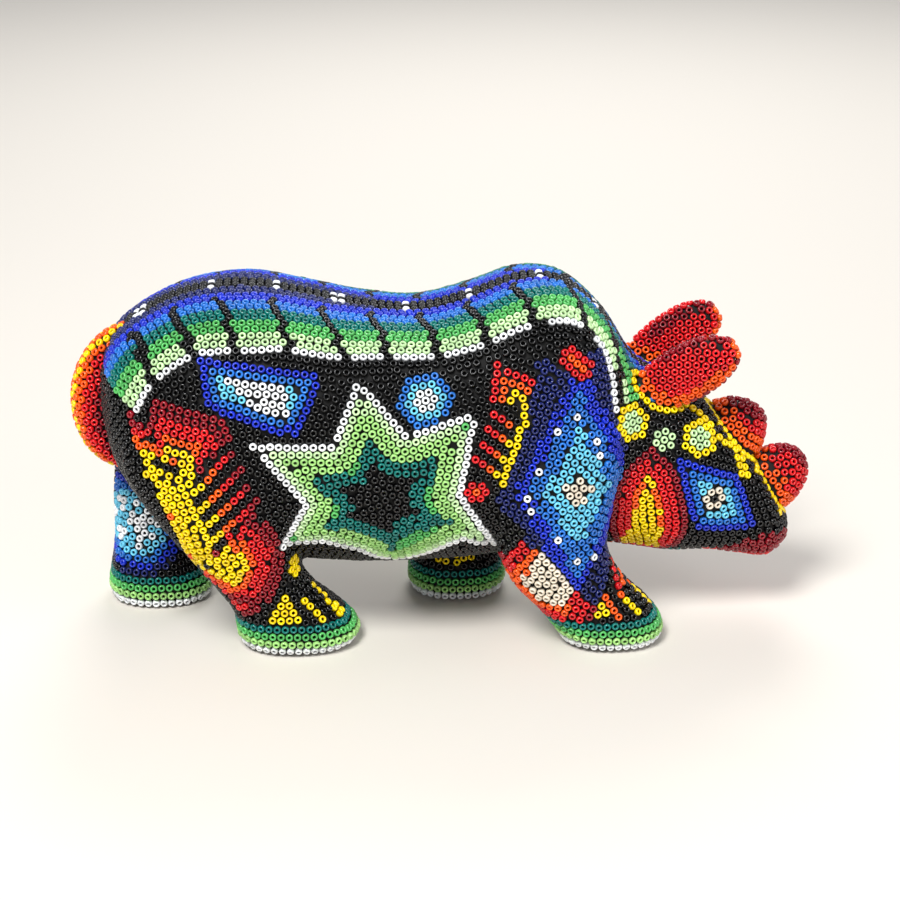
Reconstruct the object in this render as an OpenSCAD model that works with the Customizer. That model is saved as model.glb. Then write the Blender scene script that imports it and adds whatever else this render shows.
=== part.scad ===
/* [Figure] */
// Height of the shoulder hump above the floor
shoulder_h = 91; // [86:0.5:96]
// Height of the rump above the floor
rump_h = 90; // [85:0.5:95]
// Height of the dip in the back
dip_h = 83; // [78:0.5:86]
// Widest part of the trunk, across the beads
trunk_w = 63; // [56:1:70]

/* [Layers] */
// Height of a bead, from the wax to its top
bead_h = 1.5; // [1.2:0.1:1.6]
// Thickness of the wax between the wood and the beads
wax_t = 0.9; // [0.6:0.1:1]
// Height of the beads' lower edge above the floor
sole_gap = 0.9; // [0.5:0.1:1.5]

/* [Beads] */
// Diameter of one seed bead
bead_d = 2; // [1.8:0.1:2.2]
// Diameter of the hole in a seed bead
bead_hole = 0.8; // [0.6:0.1:1]

/* [Pegs] */
// Diameter of the wooden pegs that hold the horns, ears and tail
peg_d = 3; // [2:0.5:3.5]
// Length of a peg
peg_l = 12; // [8:1:14]
// Play between a peg and its hole, on the radius
peg_play = 0.05; // [0.02:0.01:0.1]

/* [Hidden] */

$fn = 48;
ring_n = 18; // points around the trunk
leg_n = 10; // points around a leg
small_n = 10; // points around an ear, a horn or the tail
half_w = trunk_w / 2;
wood = bead_h + wax_t; // depth of the wood below the tops of the beads

centre_x = 1.6; // from the stations' zero to the middle of the figure's length

RIGHT = -1; // the animal's right side faces -Y
LEFT = 1;

// Trunk and head stations from the rump to the lips: [x, top, bottom, half width]
TRUNK = [
    [-83.8, 69, 58, 6],
    [-80, 77.5, 44, 18],
    [-72, rump_h - 6.5, 32, 25.5],
    [-61, rump_h - 1.8, 25, half_w - 2],
    [-47, rump_h, 21, half_w],
    [-33, rump_h - 2.6, 19, half_w + 0.5],
    [-19, dip_h + 1.2, 18, half_w + 0.5],
    [-5, dip_h, 18, half_w],
    [8, dip_h + 3.2, 18.5, half_w - 0.5],
    [20, shoulder_h - 0.6, 20, half_w - 1.5],
    [31, shoulder_h - 1.8, 21, half_w - 4.5],
    [41, 80.5, 20, 22],
    [49, 68.5, 18.5, 18.5],
    [58, 63, 17, 18],
    [67, 57, 17, 17],
    [76, 47.5, 15.5, 14],
    [84, 36, 14.5, 11.5],
    [89.5, 26, 18.5, 5]
];

// Leg stations from the sole up: [z, back x, front x, inner y, outer y]
LEG_HIND_RIGHT = [
    [0, -50, -23, 5, 26.5],
    [4, -52, -20.5, 4, 28.5],
    [9.5, -52.5, -25, 5.5, 27.5],
    [17, -57, -32.5, 8, 27.5],
    [26, -63, -36, 8, 30],
    [37, -71, -35, 7, 32],
    [49, -77.5, -34, 5, 32.5],
    [60, -77, -40, 4, 28],
    [69, -70, -48, 4, 18]
];
LEG_HIND_LEFT = [
    [0, -85, -60, 2.5, 24],
    [4, -86.5, -58.5, 1.5, 26],
    [9.5, -85.5, -62, 3.5, 25.5],
    [17, -84.5, -62, 6, 26.5],
    [26, -84.5, -58, 7, 29.5],
    [37, -83.5, -50, 7, 32],
    [49, -81, -44, 5, 32.5],
    [60, -76, -44, 4, 28],
    [69, -68, -48, 4, 18]
];
LEG_FRONT_RIGHT = [
    [0, 30, 54.5, 6.5, 28.5],
    [4, 27.5, 56, 5.5, 30.5],
    [9.5, 23.5, 52.5, 7, 30],
    [17, 17, 45.5, 9, 30],
    [26, 13, 41, 9, 31],
    [37, 10, 42, 6, 32],
    [49, 9, 44, 4, 31],
    [60, 12, 43, 3, 27.5],
    [69, 18, 38, 3, 20]
];
LEG_FRONT_LEFT = [
    [0, -6.5, 17, 3, 25],
    [4, -8, 18.5, 2, 27],
    [9.5, -6.5, 17, 4, 26.5],
    [17, -5, 17.5, 7, 27.5],
    [26, -4, 22, 8, 30],
    [37, -1, 31, 6, 32],
    [49, 4, 41, 4, 31],
    [60, 11, 42, 3, 27.5],
    [69, 18, 37, 3, 20]
];

// Paths of the fitted pieces, on the right or on the centreline: [x, y, z, height / 2, width / 2]
EAR = [
    [48.3, -10.2, 60.4, 5.4, 2.9],
    [52.5, -11, 63.1, 6.6, 3.4],
    [59, -12.2, 67.3, 7.6, 3.8],
    [65, -13.2, 71.2, 7.2, 3.6],
    [69.2, -13.8, 73.9, 5.4, 3.4],
    [71.6, -14.1, 75.5, 3, 2.5]
];
HORN_REAR = [
    [69.5, 0, 42.6, 9.5, 6],
    [73.5, 0, 46.8, 9.3, 6.2],
    [76.3, 0, 49.9, 7.6, 5.3],
    [78.8, 0, 53.2, 4.8, 3.9],
    [79.9, 0, 54.8, 1.5, 1.4]
];
HORN_FRONT = [
    [79.8, 0, 31.2, 8, 5.6],
    [84.8, 0, 34.6, 8.4, 6],
    [88.2, 0, 37.4, 7.4, 5.4],
    [91.2, 0, 40.2, 5, 4],
    [92.8, 0, 41.8, 1.6, 1.5]
];
TAIL = [
    [-74, 0, 76.5, 4.4, 4.6],
    [-79.5, 0, 72.6, 5.8, 6.2],
    [-83.2, 0, 66.8, 6.6, 7],
    [-84.8, 0, 60.2, 6.8, 7.2],
    [-84.2, 0, 52.6, 6.2, 6.8],
    [-81.3, 0, 46.8, 5, 5.6],
    [-78, 0, 42.6, 2.4, 3]
];

// ---- Curves and lofts ----

// A point of the Catmull-Rom curve through rows, t of the way from row i to row i + 1
function curve(rows, i, t) =
    let (
        last = len(rows) - 1,
        a = rows[max(i - 1, 0)],
        b = rows[i],
        c = rows[i + 1],
        d = rows[min(i + 2, last)]
    )
    (2 * b + (c - a) * t + (2 * a - 5 * b + 4 * c - d) * t * t
        + (3 * b - a - 3 * c + d) * t * t * t) / 2;

// Rows with steps - 1 more between each pair
function refine(rows, steps) = [
    for (i = [0 : len(rows) - 2], k = [0 : steps - 1]) curve(rows, i, k / steps),
    rows[len(rows) - 1]
];

// A power of a sine or cosine that keeps its sign: 1 draws an ellipse, and less a fuller shape
function fuller(v, e) = sign(v) * pow(abs(v), e);

function unit(v) = v / max(norm(v), 1e-9);

// The back is flatter than the belly
function trunk_ring(r) = [
    for (k = [0 : ring_n - 1])
        let (t = 360 * k / ring_n, e = t < 180 ? 0.74 : 0.86)
        [r[0], r[3] * fuller(cos(t), e), (r[1] + r[2]) / 2 + (r[1] - r[2]) / 2 * fuller(sin(t), e)]
];

function leg_ring(r, side) = [
    for (k = [0 : leg_n - 1])
        let (t = 360 * k / leg_n)
        [
            (r[1] + r[2]) / 2 + (r[2] - r[1]) / 2 * fuller(cos(t), 0.86),
            side * (r[3] + r[4]) / 2 + (r[4] - r[3]) / 2 * fuller(sin(t), 0.86),
            r[0]
        ]
];

// Ellipses square to a path that runs up or down in a plane of constant y
function path_grid(rows) = [
    for (i = [0 : len(rows) - 1])
        let (
            a = rows[max(i - 1, 0)],
            b = rows[min(i + 1, len(rows) - 1)],
            along = unit([b[0] - a[0], b[1] - a[1], b[2] - a[2]]),
            up = unit(cross(along, [0, 1, 0])),
            wide = cross(up, along),
            p = [rows[i][0], rows[i][1], rows[i][2]]
        )
        [
            for (k = [0 : small_n - 1])
                let (t = 360 * k / small_n)
                p + rows[i][3] * cos(t) * up - rows[i][4] * sin(t) * wide
        ]
];

// The outward normal of a grid of rings at ring i, point j
function normal(grid, i, j) =
    let (
        n = len(grid[0]),
        along = grid[min(i + 1, len(grid) - 1)][j] - grid[max(i - 1, 0)][j],
        around = grid[i][(j + 1) % n] - grid[i][(j + n - 1) % n]
    )
    unit(cross(around, along));

// A grid moved inwards by depth. Rings on the floor stay on it.
function inset(grid, depth) = [
    for (i = [0 : len(grid) - 1]) [
        for (j = [0 : len(grid[0]) - 1])
            let (v = normal(grid, i, j), p = grid[i][j])
            p - depth * (p[2] == 0 ? unit([v[0], v[1], 0]) : v)
    ]
];

// A closed solid through the rings of a grid
module loft(grid) {
    n = len(grid[0]);
    m = len(grid);
    polyhedron(
        [for (ring = grid) each ring],
        concat(
            [[for (j = [0 : n - 1]) j]],
            [
                for (i = [0 : m - 2], j = [0 : n - 1])
                    [(i + 1) * n + j, (i + 1) * n + (j + 1) % n, i * n + (j + 1) % n, i * n + j]
            ],
            [[for (j = [n - 1 : -1 : 0]) (m - 1) * n + j]]
        )
    );
}

// ---- Solids at a depth below the tops of the beads ----

module trunk_at(depth) {
    loft(inset([for (r = refine(TRUNK, 2)) trunk_ring(r)], depth));
}

module leg_at(rows, side, depth) {
    loft(inset([for (r = rows) leg_ring(r, side)], depth));
}

module body_at(depth) {
    trunk_at(depth);
    leg_at(LEG_HIND_RIGHT, RIGHT, depth);
    leg_at(LEG_FRONT_RIGHT, RIGHT, depth);
    leg_at(LEG_HIND_LEFT, LEFT, depth);
    leg_at(LEG_FRONT_LEFT, LEFT, depth);
}

module fitted_at(rows, depth) {
    loft(inset(path_grid(rows), depth));
}

module ear_at(side, depth) {
    if (side == RIGHT) fitted_at(EAR, depth);
    else mirror([0, 1, 0]) fitted_at(EAR, depth);
}

module all_fitted_at(depth) {
    ear_at(RIGHT, depth);
    ear_at(LEFT, depth);
    fitted_at(HORN_REAR, depth);
    fitted_at(HORN_FRONT, depth);
    fitted_at(TAIL, depth);
}

// ---- Pegs ----

// Where each peg crosses the surface of the wood: [point, direction]
PEG_EAR = [[53, -11.1, 63.4], [0.82, -0.16, 0.54]];
PEG_REAR = [[73, 0, 46.2], [0.68, 0, 0.73]];
PEG_FRONT = [[83.6, 0, 33.9], [0.8, 0, 0.6]];
PEG_TAIL = [[-80.6, 0, 64], [-0.98, 0, -0.1]];

module along(peg) {
    v = unit(peg[1]);
    translate(peg[0]) rotate([0, acos(v[2]), atan2(v[1], v[0])]) rotate(20) children();
}

module peg(p) {
    along(p) translate([0, 0, -peg_l / 2]) cylinder(d = peg_d, h = peg_l);
}

// The hole is a little deeper than the peg at both ends
module peg_hole(p) {
    along(p) translate([0, 0, -peg_l / 2 - 0.5]) cylinder(d = peg_d + 2 * peg_play, h = peg_l + 1);
}

// Moves a finished piece so that the figure is centred over the origin
module placed() {
    translate([-centre_x, 0, 0]) children();
}

module mirrored(side) {
    if (side == RIGHT) children();
    else mirror([0, 1, 0]) children();
}

// ---- Regions of the bead layer, drawn from the right side in x and z ----

BACK = [
    [-95, 100], [-95, 62], [-83, 63], [-76, 69], [-66, 76], [-52, 77.5], [-38, 76.5], [-26, 74.5],
    [-12, 74], [0, 75], [10, 77.5], [20, 80.5], [29, 81], [35, 77.5], [39, 71], [42, 60],
    [47, 58], [50, 62], [53, 80], [53, 100]
];
STAR = [
    [-46, 57], [-28, 55.5], [-21, 71], [-9, 57.5], [8, 63], [4, 45],
    [13, 23], [3, 15], [-15, 10], [-27, 22], [-40, 29], [-34.5, 42]
];
KITE = [[-59, 75.5], [-30, 71.5], [-37, 58.5], [-57, 65]];
COMB = [[12, 73], [20, 69], [19, 62], [14, 44], [5, 42], [8, 62]];
HAUNCH_RIGHT = [[-95, 31], [-95, 60], [-76, 67], [-52, 62], [-44, 42], [-38, 31]];
HAUNCH_LEFT = [[-95, 31], [-95, 60], [-76, 67], [-54, 62], [-50, 46], [-52, 31]];
SHOULDER_RIGHT = [[24, 73], [14, 44], [4.5, 42], [4.5, 31], [43, 31], [43, 60], [42, 60], [38, 71]];
SHOULDER_LEFT = SHOULDER_RIGHT;
LEG_FIELD_HIND_RIGHT = [[-95, -1], [-95, 31], [-38, 31], [-27, 25], [-20, 17], [-15, 12], [-15, -1]];
LEG_FIELD_HIND_LEFT = [[-95, -1], [-95, 31], [-52, 31], [-50, 20], [-50, -1]];
LEG_FIELD_FRONT_RIGHT = [
    [4.5, 31], [43, 31], [43, 26], [47, 17.8], [55, 14], [60, 12], [60, -1], [20, -1], [7.5, 18]
];
LEG_FIELD_FRONT_LEFT = [[-5, 31], [43, 31], [43, 17], [25, 14], [25, -1], [-15, -1], [-9, 18]];
HEAD = [[43, 26], [43, 60], [42, 62], [42, 100], [100, 100], [100, 14], [55, 14], [47, 17.8]];
CHEEK = [[49, 48], [54, 48], [60, 36], [61, 15], [55, 15], [47, 18.5], [44, 25], [45, 36]];
EYE = [[58.5, 44], [75, 40], [78, 23], [62, 25]];
LIPS = [[68, 5], [67, 19], [76, 20], [87, 21], [95, 22], [95, 5]];

// A region on one side of the figure, from y = near outwards
module field(points, side, near = 0) {
    mirrored(side)
        translate([0, -near, 0]) rotate([90, 0, 0]) linear_extrude(60) polygon(points);
}

// A region right across the figure
module band(points) {
    translate([0, 50, 0]) rotate([90, 0, 0]) linear_extrude(100) polygon(points);
}

module hoof_field() {
    translate([-100, -50, -1]) cube([200, 100, 9.6]);
}

module leg_fields() {
    field(LEG_FIELD_HIND_RIGHT, RIGHT);
    field(LEG_FIELD_FRONT_RIGHT, RIGHT);
    field(LEG_FIELD_HIND_LEFT, LEFT);
    field(LEG_FIELD_FRONT_LEFT, LEFT);
}

module middle_field() {
    translate([-62, -7, 17]) cube([105, 14, 14]);
}

PUPIL = [[67.3, -16.9, 33.6], [0.16, -0.98, 0.1]];

module pupil_hole() {
    for (s = [RIGHT, LEFT]) mirrored(s)
        along(PUPIL) translate([0, 0, -6]) cylinder(d = bead_d + 0.1, h = 12);
}

// The whole bead layer of the body, above the soles
module bead_layer() {
    difference() {
        union() { body_at(0); }
        union() { body_at(bead_h); }
        all_fitted_at(bead_h);
        translate([-100, -50, -1]) cube([200, 100, 1 + sole_gap]);
    }
}

// The part of the layer inside the first child and outside the others. resize makes it one mesh.
module panel() {
    placed() resize([0, 0, 0]) difference() {
        intersection() {
            bead_layer();
            children(0);
        }
        children([1 : $children - 1]);
    }
}

// ---- Wood ----

module core_body() {
    color("burlywood") placed() difference() {
        resize([0, 0, 0]) union() { body_at(wood); }
        mirrored(RIGHT) peg_hole(PEG_EAR);
        mirrored(LEFT) peg_hole(PEG_EAR);
        peg_hole(PEG_REAR);
        peg_hole(PEG_FRONT);
        peg_hole(PEG_TAIL);
    }
}

module core_fitted(hole) {
    placed() difference() {
        resize([0, 0, 0]) difference() {
            children(0);
            body_at(wood);
        }
        peg_hole(hole);
    }
}

module core_ear_right() { color("tan") core_fitted(PEG_EAR) ear_at(RIGHT, wood); }
module core_ear_left() { color("tan") mirrored(LEFT) core_fitted(PEG_EAR) ear_at(RIGHT, wood); }
module core_horn_rear() { color("tan") core_fitted(PEG_REAR) fitted_at(HORN_REAR, wood); }
module core_horn_front() { color("tan") core_fitted(PEG_FRONT) fitted_at(HORN_FRONT, wood); }
module core_tail() { color("tan") core_fitted(PEG_TAIL) fitted_at(TAIL, wood); }

module pegs_ears() {
    color("peru") placed() {
        peg(PEG_EAR);
        mirror([0, 1, 0]) peg(PEG_EAR);
    }
}

module pegs_horns() {
    color("peru") placed() {
        peg(PEG_REAR);
        peg(PEG_FRONT);
    }
}

module peg_tail() { color("peru") placed() peg(PEG_TAIL); }

// ---- Wax ----

module wax_body() {
    color("saddlebrown") placed() resize([0, 0, 0]) difference() {
        union() { body_at(bead_h); }
        union() { body_at(wood); }
        all_fitted_at(wood);
        translate([-100, -50, -1]) cube([200, 100, 1 + sole_gap / 2]);
    }
}

module wax_fitted(rows) {
    color("saddlebrown") placed() resize([0, 0, 0]) difference() {
        fitted_at(rows, bead_h);
        fitted_at(rows, wood);
        body_at(bead_h);
    }
}

module wax_ear_right() { wax_fitted(EAR); }
module wax_ear_left() { mirrored(LEFT) wax_fitted(EAR); }
module wax_horn_rear() { wax_fitted(HORN_REAR); }
module wax_horn_front() { wax_fitted(HORN_FRONT); }
module wax_tail() { wax_fitted(TAIL); }

// ---- Beads of the body ----

module beads_back() {
    color("royalblue") panel() band(BACK);
}

module beads_star(side) {
    color("mediumseagreen") panel() {
        field(STAR, side, 7);
        leg_fields();
        field(side == RIGHT ? HAUNCH_RIGHT : HAUNCH_LEFT, side);
    }
}

module beads_kite(side) { color("deepskyblue") panel() field(KITE, side); }
module beads_comb(side) { color("gold") panel() { field(COMB, side); field(STAR, side, 7); } }

module beads_flank(side) {
    color("dimgray") panel() {
        field([[-95, 5], [-95, 95], [43, 95], [43, 5]], side);
        band(BACK);
        field(STAR, side, 7);
        field(KITE, side);
        field(COMB, side);
        field(side == RIGHT ? HAUNCH_RIGHT : HAUNCH_LEFT, side);
        field(side == RIGHT ? SHOULDER_RIGHT : SHOULDER_LEFT, side);
        leg_fields();
        middle_field();
        band(HEAD);
    }
}

module beads_belly() {
    color("black") panel() {
        middle_field();
        band(HEAD);
    }
}

module beads_haunch(side, points) {
    color("orangered") panel() { field(points, side); band(BACK); field(KITE, side); }
}

module beads_shoulder(side, points) {
    color("mediumblue") panel() {
        field(points, side);
        field(COMB, side);
        band(BACK);
        field(STAR, side, 7);
        band(HEAD);
    }
}

module beads_leg(side, points) {
    color("darkslategray") panel() {
        field(points, side);
        hoof_field();
        middle_field();
        band(HEAD);
    }
}

module beads_hoof(side, points) {
    color("yellowgreen") panel() { intersection() { field(points, side); hoof_field(); } }
}

module beads_star_right() { beads_star(RIGHT); }
module beads_star_left() { beads_star(LEFT); }
module beads_kite_right() { beads_kite(RIGHT); }
module beads_kite_left() { beads_kite(LEFT); }
module beads_comb_right() { beads_comb(RIGHT); }
module beads_comb_left() { beads_comb(LEFT); }
module beads_flank_right() { beads_flank(RIGHT); }
module beads_flank_left() { beads_flank(LEFT); }
module beads_haunch_right() { beads_haunch(RIGHT, HAUNCH_RIGHT); }
module beads_haunch_left() { beads_haunch(LEFT, HAUNCH_LEFT); }
module beads_shoulder_right() { beads_shoulder(RIGHT, SHOULDER_RIGHT); }
module beads_shoulder_left() { beads_shoulder(LEFT, SHOULDER_LEFT); }
module beads_leg_hind_right() { beads_leg(RIGHT, LEG_FIELD_HIND_RIGHT); }
module beads_leg_hind_left() { beads_leg(LEFT, LEG_FIELD_HIND_LEFT); }
module beads_leg_front_right() { beads_leg(RIGHT, LEG_FIELD_FRONT_RIGHT); }
module beads_leg_front_left() { beads_leg(LEFT, LEG_FIELD_FRONT_LEFT); }
module beads_hoof_hind_right() { beads_hoof(RIGHT, LEG_FIELD_HIND_RIGHT); }
module beads_hoof_hind_left() { beads_hoof(LEFT, LEG_FIELD_HIND_LEFT); }
module beads_hoof_front_right() { beads_hoof(RIGHT, LEG_FIELD_FRONT_RIGHT); }
module beads_hoof_front_left() { beads_hoof(LEFT, LEG_FIELD_FRONT_LEFT); }

// ---- Beads of the head ----

module beads_head() {
    color("black") panel() {
        band(HEAD);
        band(BACK);
        band(LIPS);
        cheeks_and_eyes();
    }
}

module cheeks_and_eyes() {
    for (s = [RIGHT, LEFT]) {
        field(CHEEK, s, 5);
        field(EYE, s);
    }
}

module beads_cheek(side) { color("darkorange") panel() field(CHEEK, side, 5); }

module beads_eye(side) {
    color("dodgerblue") difference() {
        panel() field(EYE, side);
        placed() pupil_hole();
    }
}

module beads_lips() { color("crimson") panel() band(LIPS); }
module beads_cheek_right() { beads_cheek(RIGHT); }
module beads_cheek_left() { beads_cheek(LEFT); }
module beads_eye_right() { beads_eye(RIGHT); }
module beads_eye_left() { beads_eye(LEFT); }

// One seed bead on its wax, with its hole outwards
module seed_bead() {
    r = bead_d / 2;
    h = bead_hole / 2;
    e = 0.2; // bevel of the rims
    rotate_extrude() polygon([
        [h, e], [h + e, 0], [r - e, 0], [r, e],
        [r, bead_h - e], [r - e, bead_h], [h + e, bead_h], [h, bead_h - e]
    ]);
}

module pupil(side) { color("black") placed() mirrored(side) along(PUPIL) translate([0, 0, -1.2]) seed_bead(); }
module pupil_right() { pupil(RIGHT); }
module pupil_left() { pupil(LEFT); }

// ---- Beads of the fitted pieces ----

module beads_fitted(rows) {
    placed() resize([0, 0, 0]) difference() {
        fitted_at(rows, 0);
        fitted_at(rows, bead_h);
        body_at(0);
    }
}

module beads_ear_right() { color("orangered") beads_fitted(EAR); }
module beads_ear_left() { color("orangered") mirrored(LEFT) beads_fitted(EAR); }
module beads_horn_rear() { color("red") beads_fitted(HORN_REAR); }
module beads_horn_front() { color("red") beads_fitted(HORN_FRONT); }
module beads_tail() { color("firebrick") beads_fitted(TAIL); }

core_body();
core_ear_right();
core_ear_left();
core_horn_rear();
core_horn_front();
core_tail();
pegs_ears();
pegs_horns();
peg_tail();
wax_body();
wax_ear_right();
wax_ear_left();
wax_horn_rear();
wax_horn_front();
wax_tail();
beads_back();
beads_star_right();
beads_star_left();
beads_kite_right();
beads_kite_left();
beads_comb_right();
beads_comb_left();
beads_flank_right();
beads_flank_left();
beads_belly();
beads_haunch_right();
beads_haunch_left();
beads_shoulder_right();
beads_shoulder_left();
beads_leg_hind_right();
beads_leg_hind_left();
beads_leg_front_right();
beads_leg_front_left();
beads_hoof_hind_right();
beads_hoof_hind_left();
beads_hoof_front_right();
beads_hoof_front_left();
beads_head();
beads_cheek_right();
beads_cheek_left();
beads_eye_right();
beads_eye_left();
pupil_right();
pupil_left();
beads_lips();
beads_ear_right();
beads_ear_left();
beads_horn_rear();
beads_horn_front();
beads_tail();
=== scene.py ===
"""A rhinoceros covered in glass seed beads. Each bead is set on its own, along rows, on a waxed skin."""
import math
from collections import deque

import bmesh
import bpy
import numpy as np
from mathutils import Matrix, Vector
from mathutils.bvhtree import BVHTree
from mathutils.kdtree import KDTree


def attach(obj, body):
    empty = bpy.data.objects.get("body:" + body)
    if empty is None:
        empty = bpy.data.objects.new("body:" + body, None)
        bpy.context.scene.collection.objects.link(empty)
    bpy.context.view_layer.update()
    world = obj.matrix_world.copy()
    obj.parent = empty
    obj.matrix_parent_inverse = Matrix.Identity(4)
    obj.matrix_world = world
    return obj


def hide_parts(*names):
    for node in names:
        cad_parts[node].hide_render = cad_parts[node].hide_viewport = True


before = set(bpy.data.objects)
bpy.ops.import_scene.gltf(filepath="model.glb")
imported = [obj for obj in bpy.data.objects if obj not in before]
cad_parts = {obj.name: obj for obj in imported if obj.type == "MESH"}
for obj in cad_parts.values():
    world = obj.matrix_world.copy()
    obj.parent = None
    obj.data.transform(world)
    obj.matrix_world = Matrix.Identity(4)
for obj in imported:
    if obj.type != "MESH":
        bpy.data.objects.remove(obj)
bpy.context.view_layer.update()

# Everything below is in millimetres until a mesh is made.
MM = 0.001
PITCH = 2.02     # between the middles of neighbouring beads
ROW = 1.78       # between rows of beads
MIDDLE = 0.75    # depth of the beads' middle below their tops
WAX = 0.62       # depth of the wax below the beads' middle
CENTRE_X = 1.6
RIGHT, LEFT = -1, 1
rng = np.random.default_rng(7)

# ---- Shape, from the CAD part's stations, but for the horns, which are broader here ----

TRUNK = [  # x, top, bottom, half width
    (-83.8, 69, 58, 6), (-80, 77.5, 44, 18), (-72, 83.5, 32, 25.5), (-61, 88.2, 25, 29.5),
    (-47, 90, 21, 31.5), (-33, 87.4, 19, 32), (-19, 84.2, 18, 32), (-5, 83, 18, 31.5),
    (8, 86.2, 18.5, 31), (20, 90.4, 20, 30), (31, 89.2, 21, 27), (41, 80.5, 20, 22),
    (49, 68.5, 18.5, 18.5), (58, 63, 17, 18), (67, 57, 17, 17), (76, 47.5, 15.5, 14),
    (84, 36, 14.5, 11.5), (89.5, 26, 18.5, 5),
]
LEG_HIND_RIGHT = [  # z, back x, front x, inner y, outer y
    (0, -50, -23, 5, 26.5), (4, -52, -20.5, 4, 28.5), (9.5, -52.5, -25, 5.5, 27.5),
    (17, -57, -32.5, 8, 27.5), (26, -63, -36, 8, 30), (37, -71, -35, 7, 32),
    (49, -77.5, -34, 5, 32.5), (60, -77, -40, 4, 28), (69, -70, -48, 4, 18),
]
LEG_HIND_LEFT = [
    (0, -85, -60, 2.5, 24), (4, -86.5, -58.5, 1.5, 26), (9.5, -85.5, -62, 3.5, 25.5),
    (17, -84.5, -62, 6, 26.5), (26, -84.5, -58, 7, 29.5), (37, -83.5, -50, 7, 32),
    (49, -81, -44, 5, 32.5), (60, -76, -44, 4, 28), (69, -68, -48, 4, 18),
]
LEG_FRONT_RIGHT = [
    (0, 30, 54.5, 6.5, 28.5), (4, 27.5, 56, 5.5, 30.5), (9.5, 23.5, 52.5, 7, 30),
    (17, 17, 45.5, 9, 30), (26, 13, 41, 9, 31), (37, 10, 42, 6, 32),
    (49, 9, 44, 4, 31), (60, 12, 43, 3, 27.5), (69, 18, 38, 3, 20),
]
LEG_FRONT_LEFT = [
    (0, -6.5, 17, 3, 25), (4, -8, 18.5, 2, 27), (9.5, -6.5, 17, 4, 26.5),
    (17, -5, 17.5, 7, 27.5), (26, -4, 22, 8, 30), (37, -1, 31, 6, 32),
    (49, 4, 41, 4, 31), (60, 11, 42, 3, 27.5), (69, 18, 37, 3, 20),
]
LEGS = {
    ("hind", "right"): (LEG_HIND_RIGHT, RIGHT), ("hind", "left"): (LEG_HIND_LEFT, LEFT),
    ("front", "right"): (LEG_FRONT_RIGHT, RIGHT), ("front", "left"): (LEG_FRONT_LEFT, LEFT),
}
EAR = [  # x, y, z, half height, half width
    (48.3, -10.2, 60.4, 5.4, 2.9), (52.5, -11, 63.1, 6.6, 3.4), (59, -12.2, 67.3, 7.6, 3.8),
    (65, -13.2, 71.2, 7.2, 3.6), (69.2, -13.8, 73.9, 5.4, 3.4), (71.6, -14.1, 75.5, 3, 2.5),
]
HORN_REAR = [
    (68.8, 0, 43, 10.6, 8.6), (73, 0, 47, 10.4, 8.6), (76, 0, 50.1, 8.8, 7.2),
    (78.8, 0, 53.4, 5.9, 5.2), (80, 0, 55.2, 2.4, 2.2),
]
HORN_FRONT = [
    (79.6, 0, 31.2, 8.6, 7.2), (84.6, 0, 34.6, 9, 7.4), (88.1, 0, 37.4, 7.8, 6.4),
    (91, 0, 40.2, 5.4, 4.6), (92.6, 0, 41.8, 2.2, 2),
]
TAIL = [
    (-74, 0, 76.5, 4.4, 4.6), (-79.5, 0, 72.6, 5.8, 6.2), (-83.2, 0, 66.8, 6.6, 7),
    (-84.8, 0, 60.2, 6.8, 7.2), (-84.2, 0, 52.6, 6.2, 6.8), (-81.3, 0, 46.8, 5, 5.6),
    (-78, 0, 42.6, 2.4, 3),
]


def refine(rows, steps):
    """Catmull-Rom rows, steps to each station."""
    rows = np.array(rows, float)
    out = []
    for i in range(len(rows) - 1):
        a, b, c, d = rows[max(i - 1, 0)], rows[i], rows[i + 1], rows[min(i + 2, len(rows) - 1)]
        for k in range(steps):
            t = k / steps
            out.append((2 * b + (c - a) * t + (2 * a - 5 * b + 4 * c - d) * t * t
                        + (3 * b - a - 3 * c + d) * t ** 3) / 2)
    return np.array(out + [rows[-1]])


def fuller(v, e):
    return np.sign(v) * np.abs(v) ** e


def trunk_grid():
    t = np.linspace(0, 2 * np.pi, 97)[:-1]
    e = np.where(t < np.pi, 0.74, 0.86)
    rings = []
    for x, top, bottom, wide in refine(TRUNK, 8):
        rings.append(np.stack([
            np.full(96, x), wide * fuller(np.cos(t), e),
            (top + bottom) / 2 + (top - bottom) / 2 * fuller(np.sin(t), e)], 1))
    return np.array(rings)


def leg_grid(rows, side):
    t = np.linspace(0, 2 * np.pi, 65)[:-1]
    rows = refine(rows, 5)
    first = rows[0].copy()
    first[0] = -5  # carried below the floor, and cut off later
    rings = []
    for z, back, front, inner, outer in np.vstack([first, rows]):
        rings.append(np.stack([
            (back + front) / 2 + (front - back) / 2 * fuller(np.cos(t), 0.86),
            side * (inner + outer) / 2 + (outer - inner) / 2 * fuller(np.sin(t), 0.86),
            np.full(64, z)], 1))
    return np.array(rings)


def path_grid(rows, side=RIGHT, n=48):
    """Ellipses square to a path in a plane of constant y, and the path's own rows."""
    rows = refine(rows, 8)
    t = np.linspace(0, 2 * np.pi, n + 1)[:-1]
    rings = []
    for i, (x, y, z, tall, wide) in enumerate(rows):
        a, b = rows[max(i - 1, 0)][:3], rows[min(i + 1, len(rows) - 1)][:3]
        along = (b - a) / np.linalg.norm(b - a)
        up = np.cross(along, (0, 1, 0))
        up /= np.linalg.norm(up)
        across = np.cross(up, along)
        ring = np.array([x, y, z]) + tall * np.cos(t)[:, None] * up - wide * np.sin(t)[:, None] * across
        rings.append(ring)
    grid = np.array(rings)
    if side == LEFT:
        grid = grid[:, ::-1] * (1, -1, 1)
    return grid


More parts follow.
